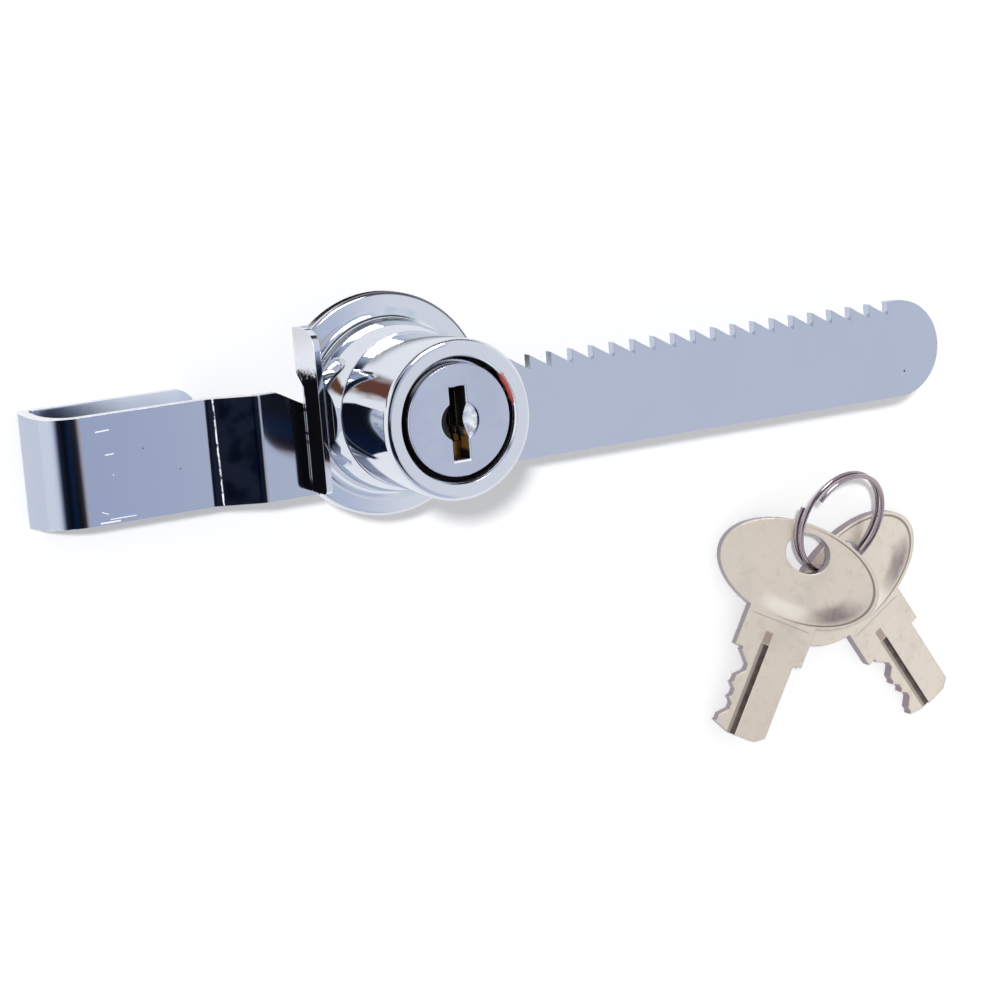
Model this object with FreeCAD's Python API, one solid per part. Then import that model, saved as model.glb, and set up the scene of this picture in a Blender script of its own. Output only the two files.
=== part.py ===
import FreeCAD, Part
import math
import os

# Ratchet lock for a glass showcase: a hooked, toothed bar and a keyed lock that slides along it.
# Units are mm. +Z is the axis of the lock's cylinder and points at the person who turns the key.
# +X runs along the bar to its free end. +Y is the side of the teeth. Z = 0 is the back of the
# lock's back plate, and X = Y = 0 is the cylinder's axis.

# Bar
bar_t = 1.5
bar_low_y = -11.3
bar_high_y = 3.8
bar_end_x = 97.5
tooth_pitch = 3.57
tooth_depth = 2.15
tooth_tip_y = 3.85
first_tooth = -9
last_tooth = 18
pawl_tooth = -7
pawl_tooth_x = -1.09
neck_start_x = -16.3
neck_end_x = -12.4

# Hook at the left end of the bar, as points of the strip's middle line in X and Z
glass_gap = 2.3
leg_space = 5.6
back_leg_end_x = -24.3
back_leg_high_y = 4.75
back_leg_corner_r = 3.0
web_low_x = -49.75
web_high_x = -48.2
joggle_start_x = -25.3
joggle_end_x = -19.2
web_low_r = 1.4
web_high_r = 5.4
joggle_r = 1.7

# Lock body
plate_t = 1.0
disc_r = 15.87
plate_inset = 0.57
rim_round = 0.6
bar_clear = 0.1
channel_side = 0.15
flange_face_x = -12.2
flange_low_y = -10.7
flange_high_y = 12.2
flange_top_z = 7.4
flange_clear = 0.05
flange_slant = 2.4
bend_r = 0.8
barrel_r = 10.0
sleeve_clear = 0.05
sleeve_wall = 0.95
sleeve_foot_step = 0.2
sleeve_rim_round = 0.8
seam_step = 0.5
neck_top_step = 0.9
neck_bulge = 0.3
cove_w = 1.6
face_z = 25.64
lip_t = 1.0
seam_z = 11.5

# Plug and what turns with it
plug_r = 8.0
plug_clear = 0.05
plug_front_step = 0.3
ring_gap = 0.8
plug_sink = 0.04
plug_step_z = 23.5
plug_rear_z = 7.25
wall_back_z = 5.7
wall_front_z = 7.2
boss_r = 5.5
boss_rear_z = 4.65
boss_clear = 0.06
cavity_r = 7.6
clip_groove_r = 4.7
clip_groove_z = 4.9
clip_groove_w = 0.7
clip_t = 0.6
clip_r = 7.0
clip_clear = 0.06
cam_pin_r = 0.9
cam_arm = 2.2
cam_pin_z = 2.8
turn_deg = 60.0

# Keyway
keyway_w = 2.4
keyway_low_y = -5.44
keyway_high_y = 4.49
keyway_floor_z = 11.6
counterbore_r = 2.8
counterbore_y = -0.2
counterbore_floor_r = 1.0
counterbore_depth = 1.8
ward_low_y = -2.2
ward_high_y = -1.2
ward_reach = 0.65
keyway_chamfer = 0.15

# Wafers
wafer_z = [22.7, 20.5, 18.3, 16.1, 13.9]
wafer_t = 0.9
wafer_half_w = 3.0
wafer_sink = 0.05
wafer_slot_t = 1.0
wafer_side = 0.05
window_half_w = 1.5
window_high_y = 4.2
window_low_y = -5.05
key_cuts = [1.8, 0.6, 1.2, 1.6, 0.3]
lug_end_x = 4.6
lug_low_y = -0.2
lug_high_y = 1.2
chamber_end_x = 4.9
chamber_low_y = -5.2
chamber_high_y = 2.2
chamber_t = 1.5
groove_half_w = 3.1
groove_depth = 0.75

# Pawl and its pocket
pawl_half_w = 3.5
pawl_side = 0.12
pawl_top_y = 8.0
pawl_body_y = 4.2
pawl_arm_y = -0.1
pawl_arm_z = 2.75
pawl_front_z = 4.4
pocket_low_y = -0.4
pocket_high_y = 11.0
pocket_roof_z = 4.7
pawl_bore_r = 1.15
pawl_bore_y = 5.2
pawl_bore_z = 2.85

# Springs and split ring, wound as plain helices
wafer_spring_r = 0.5
wafer_spring_wire_r = 0.11
wafer_spring_turns = 5
wafer_spring_x = 3.9
pawl_spring_r = 0.78
pawl_spring_wire_r = 0.17
pawl_spring_turns = 6
ring_r = 8.4
ring_wire_r = 0.38
ring_pitch = 1.22
ring_turns = 1.96
ring_start_deg = 155.0
spring_end_gap = 0.1

# Rivets between plate and housing
rivet_r = 0.9
rivet_head_r = 1.35
rivet_clear = 0.03
rivet_end_z = 3.0
rivet_high_x = 8.0
rivet_high_y = 9.4

# Keys: local Y runs along the key with the blade at -Y, local Z is the thickness
key_t = 1.8
bow_half_w = 14.0
bow_half_h = 8.0
bow_y = 0.95
key_hole_half_w = 3.85
key_hole_half_h = 3.15
key_hole_y = 4.4
shoulder_half_w = 5.9
shoulder_y = -13.0
blade_half_w = 4.5
blade_y0 = -0.45
tip_y = -26.6
tip_chamfer_y = -25.5
tip_low_x = -1.5
tip_high_x = 3.0
back_mill_low_x = 1.2
back_mill_high_x = 2.6
mill_past_shoulder = 1.5

# Where the keys and their ring lie: X, Y, height above the table, then turns about Z, X and Y
key_front_at = (73.163, -39.114, 4.612)
key_front_turn = (-27.877, 2.583, 15.159)
key_back_at = (86.549, -42.475, 0.92)
key_back_turn = (32.049, 0.0, 0.0)
ring_at = (81.484, -31.098, 5.629)
ring_axis = (0.1397, -0.3181, 1.0)

# Levels that follow from the sizes above
bar_back_z = plate_t + bar_clear
bar_front_z = bar_back_z + bar_t
channel_roof_z = bar_front_z + bar_clear
front_leg_z = -glass_gap
back_leg_z = front_leg_z - leg_space - bar_t
table_z = back_leg_z
root_y = tooth_tip_y - tooth_depth
tooth_zero_x = pawl_tooth_x - pawl_tooth * tooth_pitch
bore_end_z = face_z - lip_t
plug_face_z = face_z - plug_sink
bore_r = plug_r + plug_clear
plug_front_r = plug_r - plug_front_step
lip_r = plug_front_r + ring_gap
front_bore_r = lip_r
wafer_r = plug_r - wafer_sink
groove_r = bore_r + groove_depth
plate_r = disc_r - plate_inset
sleeve_r = barrel_r + sleeve_clear + sleeve_wall
neck_foot_r = (barrel_r + disc_r) / 2 - 0.93
rivet_low_y = (bar_low_y - channel_side - plate_r) / 2
rivet_at = [(0.0, rivet_low_y), (-rivet_high_x, rivet_high_y), (rivet_high_x, rivet_high_y)]
far = 2 * disc_r
above = face_z + 5.0

os.makedirs("parts", exist_ok=True)

V = FreeCAD.Vector


def box(x0, x1, y0, y1, z0, z1):
    """A block between two corners."""
    return Part.makeBox(x1 - x0, y1 - y0, z1 - z0, V(x0, y0, z0))


def rod(radius, z0, z1, x=0.0, y=0.0):
    """A round bar along Z."""
    return Part.makeCylinder(radius, z1 - z0, V(x, y, z0))


def plate_from(points, z0, z1):
    """A closed outline of XY points, raised from z0 to z1."""
    wire = Part.makePolygon([V(x, y, z0) for x, y in points + points[:1]])
    return Part.Face(wire).extrude(V(0, 0, z1 - z0))


def vertical_edges(shape, places, tolerance=0.02):
    """The edges that run along Z at the named XY places."""
    found = []
    for edge in shape.Edges:
        a = edge.Vertexes[0].Point
        b = edge.Vertexes[-1].Point
        if abs(a.z - b.z) < 0.1 or math.hypot(a.x - b.x, a.y - b.y) > 0.001:
            continue
        if any(math.hypot(a.x - x, a.y - y) < tolerance for x, y in places):
            found.append(edge)
    return found


def saved(name, shape):
    """Write one piece and say what was written."""
    solids = shape.Solids
    if len(solids) != 1:
        raise RuntimeError(name + " has " + str(len(solids)) + " solids")
    solid = solids[0]
    if not solid.isValid():
        raise RuntimeError(name + " is not valid")
    solid.exportStep("parts/" + name + ".step")
    size = solid.BoundBox
    print(name, "volume", round(solid.Volume, 2), "x", round(size.XMin, 2), round(size.XMax, 2),
          "y", round(size.YMin, 2), round(size.YMax, 2), "z", round(size.ZMin, 2), round(size.ZMax, 2))
    return solid


# Bar

def strip_profile(corners, radii, thickness):
    """The side view of a bent strip: its middle line in X and Z, thickened to both sides."""
    sides = []
    for side in (1.0, -1.0):
        edges = []
        last = None
        for i in range(len(corners)):
            here = V(corners[i][0], 0, corners[i][1])
            if i in (0, len(corners) - 1):
                j = 1 if i == 0 else i
                way = V(corners[j][0] - corners[j - 1][0], 0, corners[j][1] - corners[j - 1][1])
                way.normalize()
                left = V(-way.z, 0, way.x)
                point = here + left * (side * thickness / 2)
                if last is not None:
                    edges.append(Part.LineSegment(last, point).toShape())
                last = point
                continue
            before = here - V(corners[i - 1][0], 0, corners[i - 1][1])
            after = V(corners[i + 1][0], 0, corners[i + 1][1]) - here
            before.normalize()
            after.normalize()
            left_a = V(-before.z, 0, before.x)
            left_b = V(-after.z, 0, after.x)
            turn = before.x * after.z - before.z * after.x
            angle = math.atan2(abs(turn), before.dot(after))
            reach = radii[i] * math.tan(angle / 2)
            toward = 1.0 if turn > 0 else -1.0
            centre = here - before * reach + left_a * (toward * radii[i])
            radius = radii[i] - toward * side * thickness / 2
            start = centre - left_a * (toward * radius)
            end = centre - left_b * (toward * radius)
            middle = left_a + left_b
            middle.normalize()
            middle = centre - middle * (toward * radius)
            edges.append(Part.LineSegment(last, start).toShape())
            edges.append(Part.Arc(start, middle, end).toShape())
            last = end
        sides.append(edges)
    first = sides[0][0].Vertexes[0].Point
    other_first = sides[1][0].Vertexes[0].Point
    last = sides[0][-1].Vertexes[-1].Point
    other_last = sides[1][-1].Vertexes[-1].Point
    caps = [Part.LineSegment(other_first, first).toShape(), Part.LineSegment(last, other_last).toShape()]
    edges = Part.sortEdges(sides[0] + sides[1] + caps)[0]
    return Part.Face(Part.Wire(edges))


def bar_outline():
    """The bar seen along Z: hook, step down to the teeth, ramps, and the plain end."""
    wide = max(bar_high_y, back_leg_high_y)
    points = [(-60.0, bar_low_y), (-60.0, wide), (joggle_end_x, wide), (joggle_end_x, bar_high_y),
              (neck_start_x, bar_high_y), (neck_end_x, root_y)]
    for k in range(first_tooth, last_tooth + 1):
        x = tooth_zero_x + tooth_pitch * k
        points.append((x, root_y))
        points.append((x, tooth_tip_y))
    points.append((bar_end_x + 5.0, tooth_tip_y))
    points.append((bar_end_x + 5.0, bar_low_y))
    return points


def make_bar():
    leg_z = front_leg_z + bar_t / 2
    corners = [(back_leg_end_x, back_leg_z + bar_t / 2), (web_low_x, back_leg_z + bar_t / 2),
               (web_high_x, leg_z), (joggle_start_x, leg_z),
               (joggle_end_x, bar_back_z + bar_t / 2), (bar_end_x + 4.0, bar_back_z + bar_t / 2)]
    radii = [0, web_low_r, web_high_r, joggle_r, joggle_r, 0]
    side = strip_profile(corners, radii, bar_t)
    strip = side.extrude(V(0, back_leg_high_y - bar_low_y, 0))
    strip.translate(V(0, bar_low_y, 0))
    outline = plate_from(bar_outline(), -12.0, 6.0)
    middle_y = (tooth_tip_y + bar_low_y) / 2
    end_r = (tooth_tip_y - bar_low_y) / 2
    round_end = rod(end_r, -12.0, 6.0, bar_end_x - end_r, middle_y)
    end_zone = round_end.fuse(box(-70.0, bar_end_x - end_r, -30.0, 30.0, -12.0, 6.0))
    bar = strip.common(outline).common(end_zone)
    # The upper edge rises from the front leg to the back leg, which is a little wider
    inner_z = back_leg_z + bar_t
    rise = [(bar_high_y, 6), (bar_high_y, front_leg_z), (back_leg_high_y, inner_z),
            (back_leg_high_y, -12), (20, -12), (20, 6)]
    rise = [V(-60, y, z) for y, z in rise]
    off = Part.Face(Part.makePolygon(rise + rise[:1])).extrude(V(60 + joggle_end_x, 0, 0))
    bar = bar.cut(off)
    leg_xy = [(back_leg_end_x, back_leg_high_y), (back_leg_end_x, bar_low_y)]
    return bar.makeFillet(back_leg_corner_r, vertical_edges(bar, leg_xy))


# Back plate with the stop flange

def make_back_plate():
    disc = rod(plate_r, 0, plate_t).cut(box(-far, flange_face_x + plate_t, -far, far, -1, 3))
    slot_y = bar_high_y + 0.25
    tab = box(flange_face_x, -9.0, slot_y + flange_slant, flange_high_y, 0, plate_t)
    wall = box(flange_face_x, flange_face_x + plate_t, flange_low_y, flange_high_y, 0, flange_top_z)
    wall = wall.cut(box(-far, 0, -far, slot_y, -1, bar_front_z + 0.2))
    slant = [V(-far, slot_y - 1, -1), V(-far, slot_y + flange_slant, -1), V(-far, slot_y + flange_slant, 0),
             V(-far, slot_y, bar_front_z + 0.2), V(-far, slot_y - 1, bar_front_z + 0.2)]
    slant = Part.Face(Part.makePolygon(slant + slant[:1])).extrude(V(far, 0, 0))
    wall = wall.cut(slant)
    round_top = []
    round_low = []
    bend = []
    plate = wall.fuse(tab)
    for edge in plate.Edges:
        a = edge.Vertexes[0].Point
        b = edge.Vertexes[-1].Point
        at_top = abs(a.z - flange_top_z) < 0.01 and abs(b.z - flange_top_z) < 0.01
        if abs(a.x - b.x) > plate_t * 0.8 and at_top:
            if abs(a.y - flange_high_y) < 0.01:
                round_top.append(edge)
            if abs(a.y - flange_low_y) < 0.01:
                round_low.append(edge)
        if abs(a.y - b.y) > 5.0 and abs(a.z) < 0.01 and abs(b.z) < 0.01:
            if abs(a.x - flange_face_x) < 0.01 and abs(b.x - flange_face_x) < 0.01:
                bend.append(edge)
    plate = plate.makeFillet(3.0, round_top)
    bend_new = []
    low_new = []
    for edge in plate.Edges:
        a = edge.Vertexes[0].Point
        b = edge.Vertexes[-1].Point
        if abs(a.y - b.y) > 5.0 and max(abs(a.z), abs(b.z)) < 0.01:
            if max(abs(a.x - flange_face_x), abs(b.x - flange_face_x)) < 0.01:
                bend_new.append(edge)
        if abs(a.x - b.x) > plate_t * 0.8 and max(abs(a.z - flange_top_z), abs(b.z - flange_top_z)) < 0.01:
            if abs(a.y - flange_low_y) < 0.01:
                low_new.append(edge)
    plate = plate.makeFillet(bend_r, bend_new + low_new)
    plate = plate.fuse(disc).removeSplitter()
    for x, y in rivet_at:
        plate = plate.cut(rod(rivet_r + rivet_clear, -1, plate_t + 1, x, y))
        sink = Part.makeCone(rivet_head_r + rivet_clear, rivet_r + rivet_clear, 0.5, V(x, y, 0))
        plate = plate.cut(sink)
    return plate


# Housing and sleeve

def make_housing():
    inner = V(0, 0, plate_t)
    line = [V(disc_r - 0.3, 0, plate_t), V(disc_r, 0, plate_t + 0.3), V(disc_r, 0, 2.7)]
    edges = [Part.LineSegment(inner, line[0]).toShape(), Part.LineSegment(line[0], line[1]).toShape(),
             Part.LineSegment(line[1], line[2]).toShape()]
    rim_top = V(disc_r - rim_round, 0, 2.7 + rim_round)
    edges.append(Part.Arc(line[2], V(disc_r - 0.3 * rim_round, 0, 2.7 + 0.7 * rim_round), rim_top).toShape())
    cove_out = V(neck_foot_r + cove_w, 0, 3.45)
    edges.append(Part.LineSegment(rim_top, cove_out).toShape())
    neck_foot = V(neck_foot_r, 0, 4.7)
    edges.append(Part.Arc(cove_out, V(neck_foot_r + 0.29 * cove_w, 0, 3.82), neck_foot).toShape())
    neck_top = V(barrel_r + neck_top_step, 0, seam_z - 0.1)
    neck_mid = V((neck_foot_r + barrel_r + neck_top_step) / 2 + neck_bulge, 0, 8.6)
    edges.append(Part.Arc(neck_foot, neck_mid, neck_top).toShape())
    seam = V(barrel_r + seam_step, 0, seam_z)
    rest = [neck_top, seam, V(barrel_r, 0, seam_z), V(barrel_r, 0, bore_end_z), V(0, 0, bore_end_z), inner]
    for a, b in zip(rest, rest[1:]):
        edges.append(Part.LineSegment(a, b).toShape())
    body = Part.Face(Part.Wire(edges)).revolve(V(0, 0, 0), V(0, 0, 1), 360)
    flat_x = flange_face_x + plate_t + flange_clear
    body = body.cut(box(-far, flat_x, -far, far, 0, above))
    channel = box(-far, far, bar_low_y - channel_side, tooth_tip_y + channel_side, 0, channel_roof_z)
    pocket_half_w = pawl_half_w + pawl_side
    pocket = box(-pocket_half_w, pocket_half_w, pocket_low_y, pocket_high_y, 0, pocket_roof_z)
    cavity = rod(cavity_r, channel_roof_z - 0.1, wall_back_z)
    wall_hole = rod(boss_r + boss_clear, 3, 9)
    bore = rod(bore_r, wall_front_z, above).fuse(rod(front_bore_r, plug_step_z, above))
    body = body.cut(channel).cut(pocket).cut(cavity).cut(wall_hole).cut(bore)
    for angle in (0, -turn_deg):
        groove = box(-groove_half_w, groove_half_w, 0, groove_r, wall_front_z, above)
        groove.rotate(V(0, 0, 0), V(0, 0, 1), angle)
        body = body.cut(groove)
    for x, y in rivet_at:
        body = body.cut(rod(rivet_r + rivet_clear, 0, rivet_end_z + 0.05, x, y))
    return body


def make_sleeve():
    outer = [V(sleeve_r - sleeve_foot_step, 0, seam_z + 0.1), V(sleeve_r, 0, face_z - lip_t + 0.06)]
    edge_top = V(sleeve_r - sleeve_rim_round, 0, face_z)
    inside = [edge_top, V(lip_r + 0.25, 0, face_z), V(lip_r, 0, face_z - 0.25), V(lip_r, 0, bore_end_z),
              V(barrel_r + sleeve_clear, 0, bore_end_z), V(barrel_r + sleeve_clear, 0, seam_z + 0.1),
              outer[0]]
    edges = [Part.LineSegment(outer[0], outer[1]).toShape(),
             Part.Arc(outer[1], V(sleeve_r - 0.22, 0, face_z - 0.26), edge_top).toShape()]
    for a, b in zip(inside, inside[1:]):
        edges.append(Part.LineSegment(a, b).toShape())
    return Part.Face(Part.Wire(edges)).revolve(V(0, 0, 0), V(0, 0, 1), 360)


# Plug, clip and wafers

def make_plug():
    plug = rod(plug_r, plug_rear_z, plug_step_z).fuse(rod(plug_front_r, plug_step_z - 0.5, plug_face_z))
    plug = plug.fuse(rod(boss_r, boss_rear_z, plug_rear_z + 0.5))
    pin_at = math.radians(180 + turn_deg / 2)
    pin_x = cam_arm * math.cos(pin_at)
    pin_y = cam_arm * math.sin(pin_at)
    pin = rod(cam_pin_r, cam_pin_z, boss_rear_z + 0.5, pin_x, pin_y)
    plug = plug.fuse(pin).removeSplitter()
    groove = rod(boss_r + 1, clip_groove_z, clip_groove_z + clip_groove_w)
    groove = groove.cut(rod(clip_groove_r, clip_groove_z - 1, clip_groove_z + 2))
    plug = plug.cut(groove)
    half = keyway_w / 2
    slot = box(-half, half, keyway_low_y, keyway_high_y, keyway_floor_z, above)
    ward = box(half - ward_reach, half + 0.2, ward_low_y, ward_high_y, keyway_floor_z - 1, above + 1)
    recess = Part.makeCone(counterbore_floor_r, counterbore_r, counterbore_depth,
                           V(0, counterbore_y, plug_face_z - counterbore_depth))
    plug = plug.cut(slot.cut(ward)).cut(recess)
    for z in wafer_z:
        across = wafer_half_w + wafer_side
        plug = plug.cut(box(-across, across, -10, 10, z - wafer_slot_t / 2, z + wafer_slot_t / 2))
        chamber = box(across - 0.1, chamber_end_x, chamber_low_y, chamber_high_y,
                      z - chamber_t / 2, z + chamber_t / 2)
        plug = plug.cut(chamber)
    front = [e for e in plug.Edges
             if all(abs(v.Point.z - plug_face_z) < 0.001 for v in e.Vertexes)]
    return plug.makeChamfer(keyway_chamfer, front)


def make_clip():
    z0 = clip_groove_z + (clip_groove_w - clip_t) / 2
    clip = rod(clip_r, z0, z0 + clip_t).cut(rod(clip_groove_r + clip_clear, z0 - 1, z0 + 2))
    mouth = box(0, 10, -3.4, 3.4, z0 - 1, z0 + 2)
    return clip.cut(mouth)


def make_wafer(z, cut):
    disc = rod(wafer_r, z - wafer_t / 2, z + wafer_t / 2)
    wafer = disc.common(box(-wafer_half_w, wafer_half_w, -10, 10, z - 1, z + 1))
    lug = box(wafer_half_w - 0.5, lug_end_x, lug_low_y, lug_high_y, z - wafer_t / 2, z + wafer_t / 2)
    window = box(-window_half_w, window_half_w, window_low_y + cut, window_high_y, z - 1, z + 1)
    return wafer.fuse(lug).cut(window).removeSplitter()


# Pawl

def make_pawl():
    steep_x = tooth_zero_x + tooth_pitch * math.floor((pawl_half_w - tooth_zero_x) / tooth_pitch)
    gap = pawl_side
    lift = 0.23
    nose = [(pawl_half_w, pawl_body_y + 0.4), (pawl_half_w, tooth_tip_y + 0.3),
            (steep_x - gap, tooth_tip_y + 0.3), (steep_x - gap, root_y + lift),
            (steep_x - tooth_pitch, tooth_tip_y + lift), (steep_x - tooth_pitch - gap, tooth_tip_y + lift),
            (steep_x - tooth_pitch - gap, root_y + lift)]
    slope = tooth_depth / tooth_pitch
    rise = (steep_x - tooth_pitch - gap + pawl_half_w) * slope
    nose.append((-pawl_half_w, root_y + lift + rise))
    nose.append((-pawl_half_w, pawl_body_y + 0.4))
    pawl = plate_from(nose, bar_back_z, pawl_arm_z)
    pawl = pawl.fuse(box(-pawl_half_w, pawl_half_w, pawl_body_y, pawl_top_y, bar_back_z, pawl_front_z))
    pawl = pawl.fuse(box(-pawl_half_w, pawl_half_w, pawl_arm_y, pawl_top_y, pawl_arm_z, pawl_front_z))
    bore = Part.makeCylinder(pawl_bore_r, 10, V(0, pawl_bore_y, pawl_bore_z), V(0, 1, 0))
    return pawl.cut(bore).removeSplitter()


# Wound forms

def biarc(p0, t0, p1, t1):
    """Two arcs that leave p0 along t0 and reach p1 along t1, with equal legs."""
    way = p1 - p0
    both = t0 + t1
    a = 4 - both.dot(both)
    b = way.dot(both)
    leg = (-b + math.sqrt(b * b + a * way.dot(way))) / a
    q0 = p0 + t0 * leg
    q1 = p1 - t1 * leg
    joint = (q0 + q1) * 0.5
    arcs = []
    for start, control, end in ((p0, q0, joint), (joint, q1, p1)):
        chord_mid = (start + end) * 0.5
        half_chord = (end - start).Length / 2
        half_angle = math.acos(min(1.0, half_chord / leg))
        radius = half_chord / math.sin(half_angle)
        out = control - chord_mid
        out.normalize()
        arcs.append(Part.Arc(start, chord_mid + out * (radius * (1 - math.cos(half_angle))), end).toShape())
    return arcs


def coil(radius, pitch, turns, wire_r, start_deg, name):
    """One unbroken round wire wound about Z, its middle at the origin."""
    pieces = max(1, int(math.ceil(turns * 4 - 0.001)))
    rise = pitch / (2 * math.pi)
    total = 2 * math.pi * turns
    edges = []
    last = None
    for i in range(pieces + 1):
        angle = total * i / pieces
        at = math.radians(start_deg) + angle
        point = V(radius * math.cos(at), radius * math.sin(at), rise * (angle - total / 2))
        tangent = V(-radius * math.sin(at), radius * math.cos(at), rise)
        tangent.normalize()
        if last is not None:
            edges += biarc(last[0], last[1], point, tangent)
        last = (point, tangent)
        if i == 0:
            first = (point, tangent)
    path = Part.Wire(edges)
    circle = Part.Circle(first[0], first[1], wire_r)
    tube = path.makePipeShell([Part.Wire([circle.toShape()])], True, False)
    lean = radius / math.hypot(radius, rise)
    print(name, "turns", turns, "least gap between turns", round(pitch * lean - 2 * wire_r, 3))
    return Part.Solid(tube) if not tube.Solids else tube.Solids[0]


def spring_between(y0, y1, x, z, radius, wire_r, turns, name):
    """A spring along Y whose wire fills the length from y0 to y1."""
    pitch = (y1 - y0 - 2 * wire_r) / turns
    spring = coil(radius, pitch, turns, wire_r, 0.0, name)
    spring.rotate(V(0, 0, 0), V(1, 0, 0), -90)
    spring.translate(V(x, (y0 + y1) / 2, z))
    return spring


# Keys and ring

def turned(yaw, pitch, roll):
    """Rows of the turn that lays a key down: roll about Y, then pitch about X, then yaw about Z."""
    cy, sy = math.cos(yaw), math.sin(yaw)
    cp, sp = math.cos(pitch), math.sin(pitch)
    cr, sr = math.cos(roll), math.sin(roll)
    about_z = [[cy, -sy, 0], [sy, cy, 0], [0, 0, 1]]
    about_x = [[1, 0, 0], [0, cp, -sp], [0, sp, cp]]
    about_y = [[cr, 0, -sr], [0, 1, 0], [sr, 0, cr]]
    zx = [[sum(about_z[i][k] * about_x[k][j] for k in range(3)) for j in range(3)] for i in range(3)]
    return [[sum(zx[i][k] * about_y[k][j] for k in range(3)) for j in range(3)] for i in range(3)]


def place(shape, rows, at):
    """Move a shape by a turn given as rows and a place above the table."""
    m = FreeCAD.Matrix(rows[0][0], rows[0][1], rows[0][2], at[0],
                       rows[1][0], rows[1][1], rows[1][2], at[1],
                       rows[2][0], rows[2][1], rows[2][2], at[2] + table_z,
                       0, 0, 0, 1)
    moved = shape.copy()
    moved.Placement = FreeCAD.Placement(m).multiply(shape.Placement)
    return moved


def key_blade_edge():
    """The cut edge of the blade from the shoulder to the tip, where neighbouring cuts meet."""
    step = 0.05
    points = []
    steps = int(round((shoulder_y - tip_chamfer_y) / step))
    last = None
    places = [(shoulder_y - (plug_face_z - z), cut) for z, cut in zip(wafer_z, key_cuts)]
    profile = []
    for i in range(steps + 1):
        y = shoulder_y - step * i
        depth = max(max(0.0, cut - max(0.0, abs(y - at) - 0.5)) for at, cut in places)
        profile.append((-blade_half_w + depth, y))
    for i, point in enumerate(profile):
        if 0 < i < len(profile) - 1:
            a = profile[i - 1]
            b = profile[i + 1]
            if abs((a[0] + b[0]) / 2 - point[0]) < 1e-6:
                continue
        points.append(point)
    return points


def key_blank():
    """One key, flat, its middle plane at Z = 0."""
    bow = Part.Face(Part.Wire([Part.Ellipse(V(0, bow_y, 0), bow_half_w, bow_half_h).toShape()]))
    key = bow.extrude(V(0, 0, key_t))
    key = key.fuse(box(-shoulder_half_w, shoulder_half_w, shoulder_y, 0, 0, key_t))
    outline = [(blade_half_w, -5.0), (-blade_half_w, -5.0)] + key_blade_edge()
    outline += [(tip_low_x, tip_y), (tip_high_x, tip_y), (blade_half_w, tip_chamfer_y)]
    key = key.fuse(plate_from(outline, 0, key_t)).removeSplitter()
    ellipse = Part.Ellipse(V(0, key_hole_y, -1), key_hole_half_w, key_hole_half_h)
    hole = Part.Face(Part.Wire([ellipse.toShape()]))
    key = key.cut(hole.extrude(V(0, 0, key_t + 2)))
    ward = (ward_low_y + ward_high_y) / 2 - blade_y0
    groove_w = (ward_high_y - ward_low_y) + 0.4
    mill_depth = key_t / 2 - (keyway_w / 2 - ward_reach) + 0.1
    mill_end_y = shoulder_y + mill_past_shoulder
    key = key.cut(box(ward - groove_w / 2, ward + groove_w / 2, tip_y - 1, mill_end_y,
                      key_t - mill_depth, key_t + 1))
    key = key.cut(box(back_mill_low_x, back_mill_high_x, tip_y - 1, mill_end_y, -1, mill_depth))
    key.translate(V(0, 0, -key_t / 2))
    return key


def place_key(blank, at, turn):
    return place(blank, turned(*[math.radians(a) for a in turn]), at)


def make_ring():
    ring = coil(ring_r, ring_pitch, ring_turns, ring_wire_r, ring_start_deg, "split_ring")
    n = V(*ring_axis)
    n.normalize()
    e1 = V(0, 1, 0).cross(n)
    e1.normalize()
    e2 = n.cross(e1)
    rows = [[e1.x, e2.x, n.x], [e1.y, e2.y, n.y], [e1.z, e2.z, n.z]]
    return place(ring, rows, ring_at)


def make_rivet(x, y):
    head = Part.makeCone(rivet_head_r, rivet_r, 0.5, V(x, y, 0))
    return head.fuse(rod(rivet_r, 0, rivet_end_z, x, y)).removeSplitter()


saved("ratchet_bar", make_bar())
saved("back_plate", make_back_plate())
saved("housing", make_housing())
saved("cap_sleeve", make_sleeve())
saved("plug", make_plug())
saved("retaining_clip", make_clip())
saved("pawl", make_pawl())
for number, (z, cut) in enumerate(zip(wafer_z, key_cuts), 1):
    saved("wafer_" + str(number), make_wafer(z, cut))
    name = "wafer_spring_" + str(number)
    low = chamber_low_y + spring_end_gap
    high = lug_low_y - spring_end_gap
    saved(name, spring_between(low, high, wafer_spring_x, z, wafer_spring_r, wafer_spring_wire_r,
                               wafer_spring_turns, name))
saved("pawl_spring", spring_between(pawl_bore_y + spring_end_gap, pocket_high_y - spring_end_gap, 0.0,
                                    pawl_bore_z, pawl_spring_r, pawl_spring_wire_r,
                                    pawl_spring_turns, "pawl_spring"))
for number, (x, y) in enumerate(rivet_at, 1):
    saved("plate_rivet_" + str(number), make_rivet(x, y))
blank = key_blank()
saved("key_front", place_key(blank, key_front_at, key_front_turn))
saved("key_back", place_key(blank, key_back_at, key_back_turn))
saved("split_ring", make_ring())
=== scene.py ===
# %% [markdown]
# # A ratchet lock for a glass showcase
#
# This lesson dresses a finished CAD model. The model gives every rigid piece its shape and its
# place, and Blender gives it metal, light and the small marks of use. The real lock has a hooked
# bar with saw teeth, a round chromed body that slides along it, and two nickel keys on a ring.

# %% Load the CAD model
import bpy
import math
from mathutils import Matrix, Vector


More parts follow.
